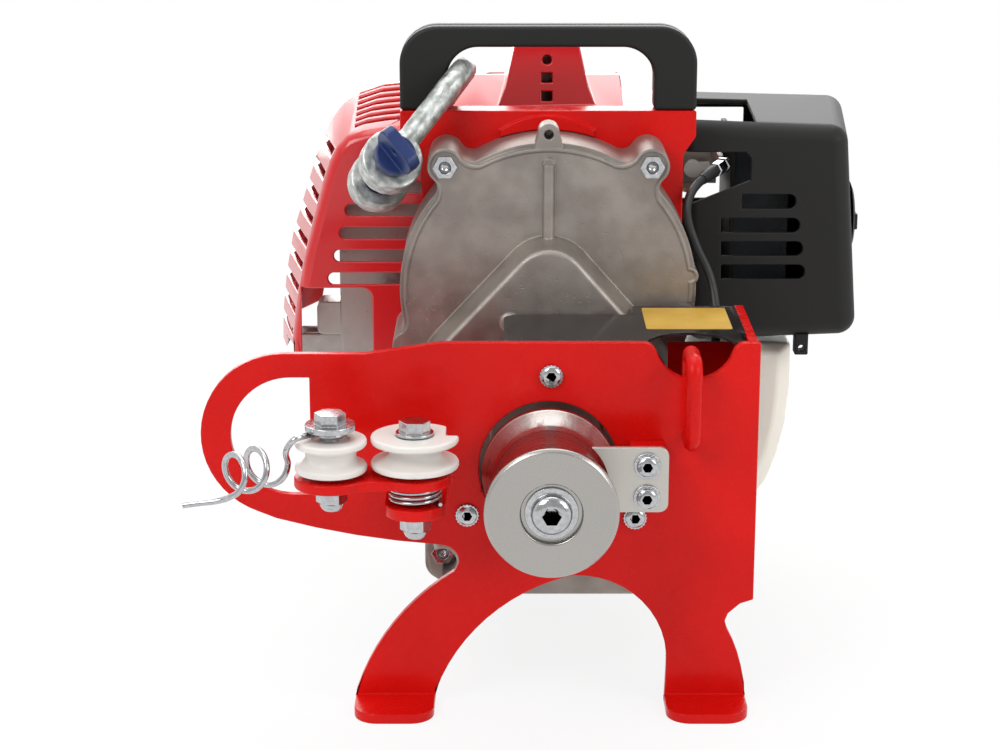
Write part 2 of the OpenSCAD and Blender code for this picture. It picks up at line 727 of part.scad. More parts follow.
// outline of the cowl from its lower left corner over the top to its lower right corner, at the
// front face and at the widest section
cowl_front = [[-140, 132], [-139, 148], [-136, 170], [-131.5, 193], [-126, 215], [-120.5, 236],
              [-117, 247], [-113, 255], [-107.5, 260.5], [-99, 263.4], [-86, 265.2], [-40, 268],
              [44, 270], [60, 267.5], [65, 258], [65, 236], [-72, 131]];
cowl_mid = [[-151, 132], [-150.5, 150], [-148, 173], [-143.5, 197], [-136.5, 219], [-129.5, 241],
            [-124.6, 253], [-119.7, 263], [-113, 271.5], [-103.5, 278], [-90, 282.5], [-36, 288],
            [44, 288], [62, 284.5], [68, 275], [68, 236], [-72, 131]];
shoulder = [44.5, 275.6];      // step down at the right of the cowl's top
function mix_lists(a, b, k) = [for (i = [0:len(a) - 1]) a[i] * (1 - k) + b[i] * k];
cowl_c = [-40, 190];
// the section at depth d, a part k of the way to the widest one, drawn in by e
module cowl_slice(d, k, e) {
    pts = mix_lists(cowl_front, cowl_mid, k);
    slab(d, d + eps) polygon([for (p = pts) p - e * unit(p - cowl_c)]);
}
module cowl_solid(e) {
    difference() {
        hull() {
            cowl_slice(cowl_d + e, 0, 5 + e);
            cowl_slice(cowl_d + 1.6 + e, 0.03, 1.5 + e);
            cowl_slice(cowl_d + 5, 0.1, e);
            cowl_slice(cowl_d + 58, 1, e);
            cowl_slice(262 - e, 0.9, 3 + e);
        }
        block([shoulder.x - e, 80], [150, 280], [shoulder.y - e, 300]);
    }
}
spine_x = 2;
spine_top = 308.5;
module spine_stage(z0, s0, z1, s1) {
    hull() {
        translate([spine_x, 218, z0]) linear_extrude(1) square(s0, true);
        translate([spine_x, 218, z1 - 1]) linear_extrude(1) square(s1, true);
    }
}
// flared at its foot, then steeper towards its flat top
module spine(e) {
    spine_stage(270, [58 - 2 * e, 64 - 2 * e], 286, [46 - 2 * e, 59 - 2 * e]);
    spine_stage(285, [46 - 2 * e, 59 - 2 * e], spine_top - e, [36 - 2 * e, 52 - 2 * e]);
}
slot_pitch = 12.9;
slot_h = 6.6;
module cowl() color(red) in_frame() difference() {
    union() {
        cowl_solid(0);
        spine(0);
    }
    cowl_solid(cowl_wall);
    spine(cowl_wall);
    // open underneath and at the back
    translate([-170, 170, 100]) cube([104, 100, 33]);
    slab(cowl_d + 4, 270) polygon([[-147, 100], [-147, 140], [-66, 178.5], [64, 240.5],
                                   [80, 246], [80, 100]]);
    slab(259, 270) polygon([[-134, 130], [-110, 258], [-30, 283], [45, 283], [58, 240],
                            [-40, 130]]);
    rod_y(61, cowl_d - 2, cowl_d + 10, 0, crank_z);
    slab(cowl_d - 2, cowl_d + 10) polygon([[-70, 131], [-70, 190], [-30, 245], [70, 245],
                                           [70, 131]]);
    // slots across the front and down the left side
    for (i = [-2:3]) let (z = 179.2 + slot_pitch * (3 - i), x = -119.5 + 3.4 * (3 - i)) {
        slab(cowl_d - 2, cowl_d + 6) round_rect(x, z, -60, z + slot_h, slot_h / 2 - 0.1);
    }
    for (i = [0:8]) let (z = 145 + slot_pitch * i)
        block([-160, -104 - (i > 6 ? 8 : 0)], [cowl_d + 9, cowl_d + 84],
              [z + 1, z + slot_h - 1]);
    // window below the slots
    slab(cowl_d - 2, cowl_d + 6) {
        round_rect(-125, 120, -95.3, 177, 6);
        translate([-135, 120]) square([25, 57]);
    }
    // fine slots in the top over the cylinder's left side
    for (i = [0:7]) block([-104, -79], [cowl_d + 13 + 7.2 * i, cowl_d + 16.6 + 7.2 * i],
                          [255, 300]);
    rod_y(2.6, 180, 200, spine_x, 300.8);
    for (z = [281, 291]) block([spine_x - 3, spine_x + 3], [180, 200], [z - 2.7, z + 2.7]);
    rod_x(14, 55, 80, cyl_d, 246);
}

module muffler() color("#a9a5a0") in_frame() {
    difference() {
        union() {
            slab(194, 246) round_rect(-115, 128, -62, 258, 9);
            block([-140, -114], [204, 224], [127, 141]);
            slab(200, 218) round_rect(-129, 141.5, -110, 161, 4);
        }
        slab(195.5, 244.5) round_rect(-113.5, 129.5, -63.5, 256.5, 8);
        rod_x(8, -70, -60, cyl_d, 250);
        rod_x(6, -141, -112, 214, 138);
    }
}

module spark_plug() color("#ecebe6") in_frame() {
    rod_z(5, 272, 286, 0, cyl_d);
    translate([0, cyl_d, 286]) hexagon(13, 4);
    rod_z(6, 290, 303, 0, cyl_d);
}

// ---------- carburettor and air filter ----------

carb_z = 246;
module carburettor() color("#a7a39d") in_frame() difference() {
    union() {
        block([70, 98], [200, 238], [230, 256]);
        rod_x(10, 97, 103, cyl_d, carb_z);
        block([76, 94], [206, 232], [255, 258.5]);
        // bracket that holds the end of the throttle cable
        block([95, 98], [160, 201], [245, 253]);
    }
    rod_z(2 + fit, 252, 260, 90, 214);
    rod_x(8, 69, 104, cyl_d, carb_z);
    rod_y(3 + fit, 192, 212, 84, 240);
    rod_z(8.5, 229, 234, 84, cyl_d);
}

knob_z = 211;
module filter_base() color(black) in_frame() difference() {
    union() {
        block([103, 106], [170, 232], [170, 262]);
        rod_x(3, 105, 164, 200, knob_z);
    }
    rod_x(8, 100, 110, cyl_d, carb_z);
}

module filter_element() color("#3b3f42") in_frame() difference() {
    slab(176, 228) round_rect(106, 176, 136, 256, 6);
    rod_x(3.2, 100, 140, 200, knob_z);
}

cover_d = [150, 236];
module cover_shape(e) {
    hull() {
        for (s = [[82, 160, 263.5], [155.5, 160, 260.5], [82, 226, 268], [161.5, 226, 266]])
            translate(s) sphere(10 - e, $fn = 32);
        for (d = [cover_d[0] + 10, cover_d[1] - 10]) {
            translate([filter_right - 10, d, 163]) sphere(10 - e, $fn = 32);
            translate([88, d, 160]) sphere(10 - e, $fn = 32);
        }
    }
}
cover_slots = [[107.8, 137, 225.2, 233.2], [96.7, 139.5, 212, 220], [97, 141.5, 199, 207],
               [97.3, 143, 186, 194]];
module filter_cover() color(black) in_frame() {
    cover_shell();
    // catch under the cover
    difference() {
        block([139.5, 147], [153, 162], [142, 154]);
        rod_y(1.8, 152, 163, 143.3, 145.8);
    }
}
module cover_shell() difference() {
    cover_shape(0);
    cover_shape(3);
    // open towards the engine
    block([50, 79], [160, 232.5], [166, 263]);
    // hand-hold in the top and cut-out in front of the throttle
    block([70, 115], [158, 209], [258, 290]);
    slab(140, 160) polygon([[60, 222], [80, 228], [112, 241], [112, 253], [109, 256.3], [60, 256.3]]);
    slab(226, 240) polygon([[60, 215], [116, 215], [116, 268], [60, 268]]);
    for (s = cover_slots) slab(140, 160) {
        round_rect(s[0] + 4, s[2], s[1], s[3], 3.6);
        translate([s[0], s[2]]) square([20, s[3] - s[2]]);
    }
    rod_x(5.4, 150, 180, 200, knob_z);
}

module filter_knob() color(black) in_frame() difference() {
    union() {
        translate([filter_right + 0.4, 200, knob_z]) rotate([0, 90, 0])
            cylinder(r1 = 20.5, r2 = 17, h = 1.4, $fn = 48);
        block([filter_right + 1.5, filter_right + 3.4], [184, 216], [knob_z - 4.4, knob_z + 4.4]);
        rod_x(5, 164.3, filter_right + 1, 200, knob_z);
    }
    rod_x(3 + fit, 160, filter_right + 2, 200, knob_z);
}

module throttle_lever() color(zinc) in_frame() {
    rod_y(3, 190, 210, 84, 240);
    slab(190, 193) union() {
        translate([84, 240]) circle(5);
        polygon([[82, 236], [94, 240.5], [93, 244], [81, 243]]);
    }
}
module choke_lever() color("#b21818") in_frame() {
    rod_z(2, 254, 261, 90, 214);
    block([88, 102.5], [211, 217], [259.3, 261.3]);
}
module primer_bulb() color("#d9cdb8") in_frame() intersection() {
    translate([84, 219, 229]) sphere(8);
    block([70, 100], [200, 240], [218, 229.7]);
}

// ---------- fuel tank and rear stand ----------

tank_low = [[-52, 60], [-46, 42], [-30, tank_base], [92, tank_base], [108, 40], [119, 50],
            [128, 63], [134, 79], [138, 98], [139.8, 118], [139.8, 144], [98, 146], [-52, 118]];
module tank_solid(e) {
    hull() {
        slab(172 + e, 248 - e) polygon([for (p = tank_low) p - e * unit(p - [50, 92])]);
        slab(165 + e, 255 - e) polygon([for (p = tank_low) p - (8 + e) * unit(p - [50, 92])]);
    }
}
module fuel_tank() color("#e9e2d2") in_frame() difference() {
    union() {
        tank_solid(0);
        rod_y(13, 250, 260, 118, 110);
    }
    tank_solid(2.2);
    rod_y(10, 240, 261, 118, 110);
}
module fuel_cap() color(black) in_frame() difference() {
    union() {
        rod_y(17, 260.5, 272, 118, 110);
        rod_y(9.5, 252, 261, 118, 110);
    }
    for (a = [0:30:330]) rod_y(1.6, 262, 273, 118 + 17.6 * cos(a), 110 + 17.6 * sin(a));
}
module rear_stand() color("#3a3a3c") in_frame() {
    block([-46, 98], [180, 262], [0, 4]);
    for (d = [190, 236]) block([-36, 92], [d, d + 14], [3, tank_base]);
    block([-46, 98], [258, 262], [3, 90]);
    // saddle that fits the underside of the starter cover
    difference() {
        block([-36, 36], [258, 262], [89, 150]);
        rod_y(62 + fit, 250, 270, 0, crank_z);
    }
}

// ---------- rope rollers ----------

arm_z = [133, 137.8];
roller_z = [140.6, 156.2];
swing_roller_z = [140.2, 156];
rim = 3.3;                     // thickness of a roller's rims
roller_gap = 0.3;              // between a roller and what it turns against

module roller(x, d, z0, z1, r, groove_r) {
    h = z1 - z0;
    difference() {
        translate([x, d, z0]) rotate_extrude($fn = 64) polygon(concat(
            [[0, 0], [r - 1, 0], [r - 0.3, 0.3], [r, 1], [r, rim - 0.9]],
            [for (i = [0:10]) let (k = pow(1 - sin(18 * i), 1.6))
                [groove_r + (r - 0.5 - groove_r) * k, rim + (h - 2 * rim) * i / 10]],
            [[r, h - rim + 0.9], [r, h - 1], [r - 0.3, h - 0.3], [r - 1, h],
             [9, h], [9, h - 1], [0, h - 1]]));
        rod_z(4 + fit, z0 - 1, z1 + 1, x, d);
    }
}
module fixed_roller() color(nylon) in_frame() difference() {
    roller(fixed_x, fixed_d, roller_z[0], roller_z[1], fixed_r, 12.4);
    // notch in the upper rim, where the rope is laid in
    translate([fixed_x + 14.5, fixed_d - 1, roller_z[1] - 3.6]) cube([10, 22, 5]);
}
module swing_roller() color(nylon) in_frame()
    roller(swing_x, swing_d, swing_roller_z[0], swing_roller_z[1], swing_r, 12);

// bolt with its head on z1, a washer under the head, and a domed locking nut up against z0
nut_h = 8.2;
dome_h = 3.2;
module roller_bolt(x, d, z0, z1, washer_r, washer_t) {
    translate([x, d, z1]) hexagon(13, 5.3);
    rod_z(4, z0 - nut_h - dome_h - 0.8, z1 + 1, x, d);
    difference() {
        rod_z(washer_r, z1 - washer_t, z1, x, d);
        rod_z(4, z1 - washer_t - 1, z1 + 1, x, d);
    }
    translate([x, d, z0 - nut_h]) hexagon(13, nut_h);
    translate([x, d, z0 - nut_h - dome_h]) cylinder(r1 = 4.8, r2 = 6.4, h = dome_h + 0.1);
}
module pivot_bolt() color(steel) in_frame()
    roller_bolt(fixed_x, fixed_d, bracket_z[0], roller_z[1] + roller_gap + 1.4, 9, 1.4);
module swing_bolt() color(steel) in_frame()
    roller_bolt(swing_x, swing_d, arm_z[0], 163.3, 12, 2.8);

module roller_arm() color(red) in_frame() difference() {
    union() {
        translate([0, 0, arm_z[0]]) linear_extrude(arm_z[1] - arm_z[0]) union() {
            translate([fixed_x, fixed_d]) circle(18);
            translate([swing_x, swing_d]) circle(17.5);
            polygon([[fixed_x, fixed_d - 14], [swing_x, swing_d - 13], [swing_x, swing_d + 13],
                     [fixed_x, fixed_d + 14]]);
            // ear that the throttle cable's wire hooks on
            polygon([[fixed_x - 2, fixed_d + 16], [fixed_x - 16, fixed_d + 8],
                     [fixed_x - 18, fixed_d + 19], [fixed_x - 10, fixed_d + 22]]);
        }
        rod_z(7, bracket_z[1] + 0.3, arm_z[0] + 1, fixed_x, fixed_d);
        rod_z(8, arm_z[0] + 1, roller_z[0] - roller_gap, fixed_x, fixed_d);
        rod_z(8, arm_z[0] + 1, swing_roller_z[0] - roller_gap, swing_x, swing_d);
    }
    for (p = [[fixed_x, fixed_d], [swing_x, swing_d]]) rod_z(4 + fit, 110, 145, p.x, p.y);
    rod_z(1.6, 120, 145, fixed_x - 13.5, fixed_d + 17.5);
}

// torsion spring: three turns round the arm's sleeve, with a straight leg at each end
spring_r = 12.1;
spring_turns = 3;
spring_z = [124.2, 131.4];
spring_path = concat(
    [[fixed_x + spring_r, fixed_d - 8, spring_z[0]], [fixed_x + spring_r, fixed_d - 4, spring_z[0]]],
    [for (i = [0:8 * spring_turns]) let (a = 45 * i, k = i / (8 * spring_turns))
        [fixed_x + spring_r * cos(a), fixed_d + spring_r * sin(a),
         spring_z[0] + (spring_z[1] - spring_z[0]) * k]],
    [[fixed_x + spring_r, fixed_d + 5, spring_z[1]], [fixed_x + spring_r, fixed_d + 9, spring_z[1]]]);
echo(spring_gap = self_gap(spring_path, 6) - spring_wire);
module arm_spring() color(zinc) in_frame() tube(spring_path, spring_wire / 2, 6);

// pigtail: an eye round the swinging roller's bolt, two open coils, and a free tail
pigtail_r = 9.5;
pigtail_pitch = 15.3;
coil_c = [-134.3, -38, 139];             // a point on the coils' axis
coil_heading = 235;                      // way that axis points, forward to the left
eye_r = 6;
eye_z = 158.4;
function coil_point(k) =
    let (a = 360 * k - 20, ax = [cos(coil_heading), sin(coil_heading), 0.07],
         u = [-sin(coil_heading), cos(coil_heading), 0])
    coil_c + pigtail_pitch * k * ax - pigtail_r * (cos(a) * [0.04, 0.06, 1] + sin(a) * u);
pigtail_path = concat(
    [for (i = [0:13]) let (a = -130 + 270 * i / 13)
        [swing_x + eye_r * cos(a), swing_d + eye_r * sin(a), eye_z]],
    [[swing_x - 8, swing_d - 1, eye_z], [swing_x - 11.5, swing_d - 7, eye_z + 0.8],
     [swing_x - 15.5, swing_d - 11.5, eye_z + 1.3], [swing_x - 19, swing_d - 10, 155.5],
     [swing_x - 21.5, swing_d - 2, 149]],
    [for (i = [0:54]) coil_point(i / 24 - 0.25)],
    [[-151.5, -63.5, 130.6], [-157, -62.5, 128.9], [-163, -62, 128.3], [-168, -62, 127.6],
     [-172.2, -62, 127]]);
echo(pigtail_gap = self_gap(pigtail_path, 10) - pigtail_wire);
module pigtail_guide() color(zinc) in_frame() tube(pigtail_path, pigtail_wire / 2, 6);

// ---------- throttle cable ----------

// route of the outer cable, from its ferrule by the carburettor, down behind the gear cover and
// round its right side, then across behind the plate to the hole below the rollers
cable_route = [
    [100, 158, 249.5], [96.5, 154, 248.2], [92, 148, 246.6], [87.5, 141, 245.2],
    [82, 131, 243.2], [77.4, 122, 240], [74.6, 114, 234.5], [74.6, 108, 227.5],
    [77.3, 103.5, 219.5], [80.6, 100, 211.5], [84.9, 97, 204], [87.5, 94, 195.5],
    [88.8, 88.5, 186], [89, 82, 176.5], [88, 76, 163.5], [86, 72, 150], [83, 66, 137],
    [79, 56, 123], [73.5, 44, 109], [64, 34, 96], [52, 27.5, 86.5], [39, 24, 80.5],
    [26, 23, 77.5], [12, 22, 77],
    [-5, 22, 79], [-18, 22, 84], [-25, 21, 93], [-29, 20, 104], [-36, 18, 114],
    [-46, 15, 121.5], [-54, 11, 126.5], [-57, 8, 128], [-57, 5, 128]];
module throttle_cable() color("#191919") in_frame() tube(cable_route, 2.4, 8);

// ---------- shackle ----------

shackle_pin_c = [-84.7, 111.1, 252.8];
shackle_turn = [-36.9, -41.0, 41.5];
bow_r = 23;
bow_len = 72;
eye_gap = 17.2;
// the straight legs meet the bow at a tangent, this far round from the crown
leg_slant = norm([bow_len - bow_r, eye_gap]);
bow_turn = 180 - atan(eye_gap / (bow_len - bow_r)) - acos(bow_r / leg_slant);
leg_len = sqrt(leg_slant * leg_slant - bow_r * bow_r);
// local X runs from the pin to the crown and local Y along the pin
module in_shackle() { in_frame() translate(shackle_pin_c) rotate(shackle_turn) children(); }
module shackle_bow() color(zinc) in_shackle() difference() {
    union() {
        translate([bow_len - bow_r, 0, 0]) rotate([0, 0, -bow_turn])
            rotate_extrude(angle = 2 * bow_turn) translate([bow_r, 0]) circle(d = bow_wire);
        for (s = [-1, 1]) {
            translate([0, s * eye_gap, 0]) rotate([0, 90, s * (bow_turn - 90)])
                cylinder(d = bow_wire - 0.2, h = leg_len + 0.5);
            translate([0, s * eye_gap - 6.5, 0]) rotate([-90, 0, 0]) cylinder(r = 16, h = 13);
        }
    }
    translate([0, -40, 0]) rotate([-90, 0, 0]) cylinder(r = pin_d / 2 + 0.4, h = 80);
}
head_y = -eye_gap - 9;         // underside of the pin's head
module shackle_pin() color("#24327e") in_shackle() {
    translate([0, head_y - 1, 0]) rotate([-90, 0, 0])
        cylinder(d = pin_d, h = 2 * eye_gap + 20);
    translate([0, head_y, 0]) rotate([90, 0, 0]) cylinder(r = 10.6, h = 6);
    // flat wing that the fingers or a bar turn, with a hole for a locking wire
    translate([0, head_y - 5, 0]) rotate([0, 15, 0]) difference() {
        translate([-3.5, 0, 0]) rotate([90, 0, 90]) linear_extrude(7)
            round_rect(-15.5, -12.6, 1, 12.6, 5.5);
        translate([-5, -9, 0]) rotate([0, 90, 0]) cylinder(r = 1.8, h = 10);
    }
}

front_plate();
anchor_bar();
pivot_bracket();
plate_screws();
guard_block();
rope_guard();
gear_cover();
cover_bolts();
handle_plate();
handle_front();
handle_rear();
top_guard();
ring_gear();
case_bearings();
clutch_housing();
crankcase();
engine_cylinder();  // cylinder
piston();
connecting_rod();
cowl();
muffler();
spark_plug();
starter_cover();
carburettor();
filter_base();
filter_element();
filter_cover();
fuel_tank();
rear_stand();
throttle_cable();
pivot_bolt();
capstan_drum();
drum_bolt();
output_shaft();
output_wheel();
gear_carrier();
planet_gear_1();
planet_gear_2();
planet_gear_3();
clutch_drum();
crankshaft();
flywheel();
clutch_shoe_1();
clutch_shoe_2();
starter_pulley();
starter_handle();
fixed_roller();
roller_arm();
swing_bolt();
pigtail_guide();
swing_roller();
arm_spring();
shackle_bow();
shackle_pin();
filter_knob();
fuel_cap();
choke_lever();
primer_bulb();
throttle_lever();
stop_switch();
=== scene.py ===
import json
import math

import bmesh
import bpy
from mathutils import Matrix, Vector
from mathutils.bvhtree import BVHTree


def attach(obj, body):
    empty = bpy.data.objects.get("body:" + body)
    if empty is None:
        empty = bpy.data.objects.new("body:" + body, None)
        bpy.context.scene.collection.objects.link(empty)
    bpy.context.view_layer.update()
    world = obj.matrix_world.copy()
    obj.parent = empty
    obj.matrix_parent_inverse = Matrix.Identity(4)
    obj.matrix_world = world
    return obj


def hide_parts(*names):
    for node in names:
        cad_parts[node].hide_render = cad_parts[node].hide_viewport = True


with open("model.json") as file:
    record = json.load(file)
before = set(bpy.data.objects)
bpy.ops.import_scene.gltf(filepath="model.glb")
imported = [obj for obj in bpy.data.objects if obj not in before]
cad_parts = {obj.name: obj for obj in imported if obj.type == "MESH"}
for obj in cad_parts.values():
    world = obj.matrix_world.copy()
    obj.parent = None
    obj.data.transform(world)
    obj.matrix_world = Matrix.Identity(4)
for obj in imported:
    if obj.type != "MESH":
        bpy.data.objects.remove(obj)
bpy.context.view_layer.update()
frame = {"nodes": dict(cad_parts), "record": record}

# ---------------------------------------------------------------------------
# Front plate, with the bracket, the guard's block and the anchor bar welded on.
# Bent 5 mm sheet steel under a glossy red powder coat. Each piece is the CAD
# node's own shape with its cut edges broken by a fine bevel.
# ---------------------------------------------------------------------------
MM = 0.001
MID = 110                    # depth of the frame's origin behind the plate's front face, in mm
WELD = 0.002                 # corners nearer than this in mm are one corner
FLAT = math.radians(0.4)     # faces that turn less than this are one face
SHARP = math.radians(52)     # an edge that still turns more than this is shaded sharp


def at(x, depth, z):
    """A point in metres, from X, depth behind the plate's front face and Z in mm."""
    return Vector((x, depth - MID, z)) * MM


def srgb(code):
    """A linear colour from #rrggbb."""
    parts = [int(code[i:i + 2], 16) / 255 for i in (1, 3, 5)]
    return (*[c / 12.92 if c < 0.04045 else ((c + 0.055) / 1.055) ** 2.4 for c in parts], 1)


def add(tree, kind, settings=None, inputs=None):
    """A shader node with its settings, and its inputs as values or sockets."""
    node = tree.nodes.new("ShaderNode" + kind)
    for name, value in (settings or {}).items():
        setattr(node, name, value)
    for name, value in (inputs or {}).items():
        if isinstance(value, bpy.types.NodeSocket):
            tree.links.new(value, node.inputs[name])
        else:
            node.inputs[name].default_value = value
    return node


def finish(name, colour, rough, metal=0.0, **more):
    """A Principled material. more holds further sockets, with _ for a space."""
    material = bpy.data.materials.new(name)
    material.use_nodes = True
    shader = material.node_tree.nodes["Principled BSDF"]
    shader.inputs["Base Color"].default_value = srgb(colour)
    shader.inputs["Roughness"].default_value = rough
    shader.inputs["Metallic"].default_value = metal
    for key, value in more.items():
        shader.inputs[key.replace("_", " ")].default_value = value
    return material


def noise(tree, size, detail=3.0, stretch=(1, 1, 1)):
    """Noise with features of about size mm, in the object's own millimetres."""
    own = add(tree, "TexCoord").outputs["Object"]
    scaled = add(tree, "Mapping", inputs={"Vector": own, "Scale": stretch})
    return add(tree, "TexNoise", inputs={
        "Vector": scaled.outputs[0], "Scale": 1 / (size * MM), "Detail": detail}).outputs["Fac"]


def spread(tree, value, low, high, start=0.3, end=0.7):
    """Patches of a pattern: its value from start to end, turned into low to high."""
    return add(tree, "MapRange", inputs={
        "Value": value, "From Min": start, "From Max": end,
        "To Min": low, "To Max": high}).outputs["Result"]


def bumps(material, height, depth, strength=1.0):
    """Raises the surface by depth mm where height is 1. Stacks on earlier bumps."""
    tree = material.node_tree
    shader = tree.nodes["Principled BSDF"]
    node = add(tree, "Bump", inputs={
        "Height": height, "Distance": depth * MM, "Strength": strength})
    before = shader.inputs["Normal"].links
    if before:
        tree.links.new(before[0].from_socket, node.inputs["Normal"])
    tree.links.new(node.outputs[0], shader.inputs["Normal"])


def two_tone(material, value, dark, light):
    """Base colour that runs from dark to light with value."""
    tree = material.node_tree
    mix = add(tree, "Mix", {"data_type": "RGBA"}, {
        "Factor": value, 6: srgb(dark), 7: srgb(light)})
    tree.links.new(mix.outputs[2], tree.nodes["Principled BSDF"].inputs["Base Color"])


def uneven(material, value, low, high):
    """Roughness that runs from low to high with value."""
    tree = material.node_tree
    tree.links.new(spread(tree, value, low, high),
                   tree.nodes["Principled BSDF"].inputs["Roughness"])


def body_of(node):
    return next(b for b, names in frame["record"]["behaviour"]["bodies"].items()
                if node in names)


def slot_of(node):
    return next(s["material_slot"] for s in frame["record"]["subparts"] if s["node"] == node)


def place(piece, body, slot, *nodes):
    """Fixes a piece to a body and lets it stand for CAD nodes, which it hides. slot is not used.
    """
    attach(piece, body)
    if nodes:
        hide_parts(*nodes)
    return piece


def paint(material, *nodes):
    """Gives CAD nodes a material and leaves their shape alone."""
    for name in nodes:
        mesh = frame["nodes"][name].data
        mesh.materials.clear()
        mesh.materials.append(material)


def show(name, work, material):
    """A new object from a finished bmesh, with its place in its mesh."""
    mesh = bpy.data.meshes.new(name)
    work.to_mesh(mesh)
    work.free()
    mesh.materials.append(material)
    piece = bpy.data.objects.new(name, mesh)
    bpy.context.scene.collection.objects.link(piece)
    return piece


def copied(name):
    """A bmesh of a CAD node's shape, merged, its flat faces whole again."""
    work = bmesh.new()
    work.from_mesh(frame["nodes"][name].data)
    bmesh.ops.remove_doubles(work, verts=work.verts, dist=WELD * MM)
    bmesh.ops.dissolve_limit(work, angle_limit=FLAT, verts=work.verts, edges=work.edges)
    for face in work.faces:
        face.smooth = True
        face.material_index = 0
    return work


def soften(material, edge, *nodes, angle=32, segments=2, pick=None):
    """Stands a copy of each CAD node in for it, with edges rounded by edge mm.
    Edges that turn more than angle degrees are, or those of them that pick takes."""
    for name in nodes:
        work = copied(name)
        before = BVHTree.FromBMesh(work)
        edges = [e for e in work.edges if len(e.link_faces) == 2
                 and e.calc_face_angle() > math.radians(angle) and (not pick or pick(e))]
        bmesh.ops.bevel(work, geom=edges, offset=edge * MM, offset_type="OFFSET",
                        segments=segments, profile=0.5, affect="EDGES", material=-1,
                        clamp_overlap=False)
        # a corner too small for its bevel shoots out: it is drawn back to the shape
        for vert in work.verts:
            near, _, _, gap = before.find_nearest(vert.co)
            if gap > edge * MM:
                vert.co = near
        for face in work.faces:
            face.smooth = True
        for side in work.edges:
            side.smooth = side.calc_face_angle(0) < SHARP
        piece = show(name + "_skin", work, material)
        weigh = piece.modifiers.new("normals", "WEIGHTED_NORMAL")
        weigh.weight = 80           # large flat faces rule the shading up to their edges
        weigh.keep_sharp = True
        place(piece, body_of(name), slot_of(name), name)


def rounded(material, radius):
    """Lets light run round this material's edges as if they had a radius in mm."""
    tree = material.node_tree
    edge = add(tree, "Bevel", {"samples": 6}, {"Radius": radius * MM})
    tree.links.new(edge.outputs[0], tree.nodes["Principled BSDF"].inputs["Normal"])


# a deep red with a soft gloss, faint clouding and the fine ripple of a baked powder
red_coat = finish("red powder coat on steel", "#d0100c", 0.27, Specular_IOR_Level=0.14,
                  Coat_Weight=0.06, Coat_Roughness=0.08)
rounded(red_coat, 0.8)
tree = red_coat.node_tree
two_tone(red_coat, spread(tree, noise(tree, 40, 2.0), 0, 1, 0.35, 0.65), "#cb0f0b", "#d5120e")
uneven(red_coat, noise(tree, 9), 0.22, 0.34)
bumps(red_coat, noise(tree, 1.6), 0.02, 0.4)
soften(red_coat, 0.5, "front_plate", "pivot_bracket", "guard_block", "anchor_bar")

# ---------------------------------------------------------------------------
# Screws in the plate and the cases, and the rope guard that two of them hold.
# Bright zinc-plated steel with a serrated ring under each round head. The guard is a
# brushed 3 mm steel strip that keeps the rope on the capstan.
# ---------------------------------------------------------------------------
# nearly a mirror, blue-white, with faint cloudy patches from the plating bath
bright_zinc = finish("bright zinc plating", "#cdced0", 0.2, 1.0)
tree = bright_zinc.node_tree
two_tone(bright_zinc, spread(tree, noise(tree, 2.2), 0, 1), "#adafb3", "#c6c7c8")
uneven(bright_zinc, noise(tree, 1.4), 0.12, 0.2)
soften(bright_zinc, 0.25, "plate_screws", "cover_bolts")

SCREWS = [(1, 172.6, -1.9), (-40.3, 101, -1.9), (43, 99.6, -1.9),
          (46.6, 120.4, -33.2), (46.6, 136.5, -33.2)]      # X, Z and depth of each ring
RING_IN, RING_OUT, RING_THICK = 3.6, 5.9, 1
TEETH, BITE, SINK = 20, 0.55, 0.35     # the teeth, their depth, and the sunk middle in mm


def toothed(x, z, front):
    """A serrated ring under a screw's head: X, Z and front depth of its axis in mm."""
    work = bmesh.new()
    rim = bmesh.ops.create_circle(work, cap_ends=True, radius=RING_OUT * MM, segments=2 * TEETH)
    for count, vert in enumerate(rim["verts"]):
        if count % 2:
            vert.co *= (RING_OUT - BITE) / RING_OUT
    ring = bmesh.ops.inset_region(work, faces=work.faces[:],
                                  thickness=(RING_OUT - RING_IN) * MM)
    bmesh.ops.translate(work, vec=(0, 0, -SINK * MM),
                        verts=[v for f in work.faces if f not in ring["faces"] for v in f.verts])
    low = bmesh.ops.extrude_face_region(work, geom=work.faces[:])
    bmesh.ops.translate(work, vec=(0, 0, -RING_THICK * MM),
                        verts=[v for v in low["geom"] if isinstance(v, bmesh.types.BMVert)])
    bmesh.ops.recalc_face_normals(work, faces=work.faces)
    bmesh.ops.rotate(work, matrix=Matrix.Rotation(math.radians(90), 3, "X"), verts=work.verts)
    bmesh.ops.translate(work, vec=at(x, front, z), verts=work.verts)
    return work


for count, (x, z, front) in enumerate(SCREWS):
    ring = show("serration_%d" % (count + 1), toothed(x, z, front), bright_zinc)
    place(ring, "winch_frame", slot_of("plate_screws"))

# a pale satin whose strokes run along the strip
brushed = finish("brushed steel strip", "#c4c0ba", 0.36, 0.85)
strokes = noise(brushed.node_tree, 0.35, 2.0, (0.06, 1, 1))
bumps(brushed, strokes, 0.01, 0.5)
uneven(brushed, strokes, 0.3, 0.44)
soften(brushed, 0.4, "rope_guard")

# ---------------------------------------------------------------------------
# Capstan, its bolt and the output shaft.
# Turned alloy: fine rings from the lathe run round the axis on every face. The
# bolt's head stands in a shallow recess in the end.
# ---------------------------------------------------------------------------
CAPSTAN_Z = 125              # height of the capstan's axis in mm
RING_PITCH = 0.5             # spacing of the lathe's rings in mm, coarse enough to show
